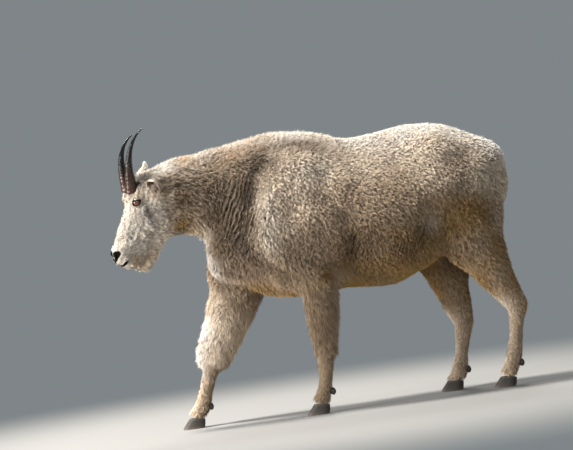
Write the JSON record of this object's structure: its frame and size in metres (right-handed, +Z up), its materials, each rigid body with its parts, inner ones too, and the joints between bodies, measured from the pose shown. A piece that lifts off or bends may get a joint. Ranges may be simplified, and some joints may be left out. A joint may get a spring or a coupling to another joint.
{
  "type": "mountain goat",
  "caption": "Standing, life-size mountain goat in a creamy white woolly coat, mid-step with its head low, slim black horns and a short beard.",
  "frame": {"origin": "middle of the underside of the bounding box, on the floor the hooves stand on", "axes": "+X towards the tail, the head is at -X; +Y towards the goat's right side; +Z up"},
  "size_m": [1.4302, 0.3988, 1.0721],
  "materials": {
    "coat": "woolly coat, matt",
    "face": "short hair, matt",
    "horn": "black horn, satin",
    "hoof": "dark horn, satin",
    "eye": "wet, gloss"
  },
  "bodies": {
    "root": {"trunk": "coat", "neck": "coat", "tail": "coat", "leg_front_left": "coat", "leg_front_right": "coat", "leg_hind_left": "coat", "leg_hind_right": "coat", "head": "face", "ear_left": "face", "ear_right": "face", "eye_left": "eye", "eye_right": "eye", "horn_left": "horn", "horn_right": "horn", "hoof_front_left_inner": "hoof", "dewclaw_front_left_inner": "hoof", "hoof_front_left_outer": "hoof", "dewclaw_front_left_outer": "hoof", "hoof_front_right_inner": "hoof", "dewclaw_front_right_inner": "hoof", "hoof_front_right_outer": "hoof", "dewclaw_front_right_outer": "hoof", "hoof_hind_left_inner": "hoof", "dewclaw_hind_left_inner": "hoof", "hoof_hind_left_outer": "hoof", "dewclaw_hind_left_outer": "hoof", "hoof_hind_right_inner": "hoof", "dewclaw_hind_right_inner": "hoof", "hoof_hind_right_outer": "hoof", "dewclaw_hind_right_outer": "hoof"}
  },
  "joints": []
}
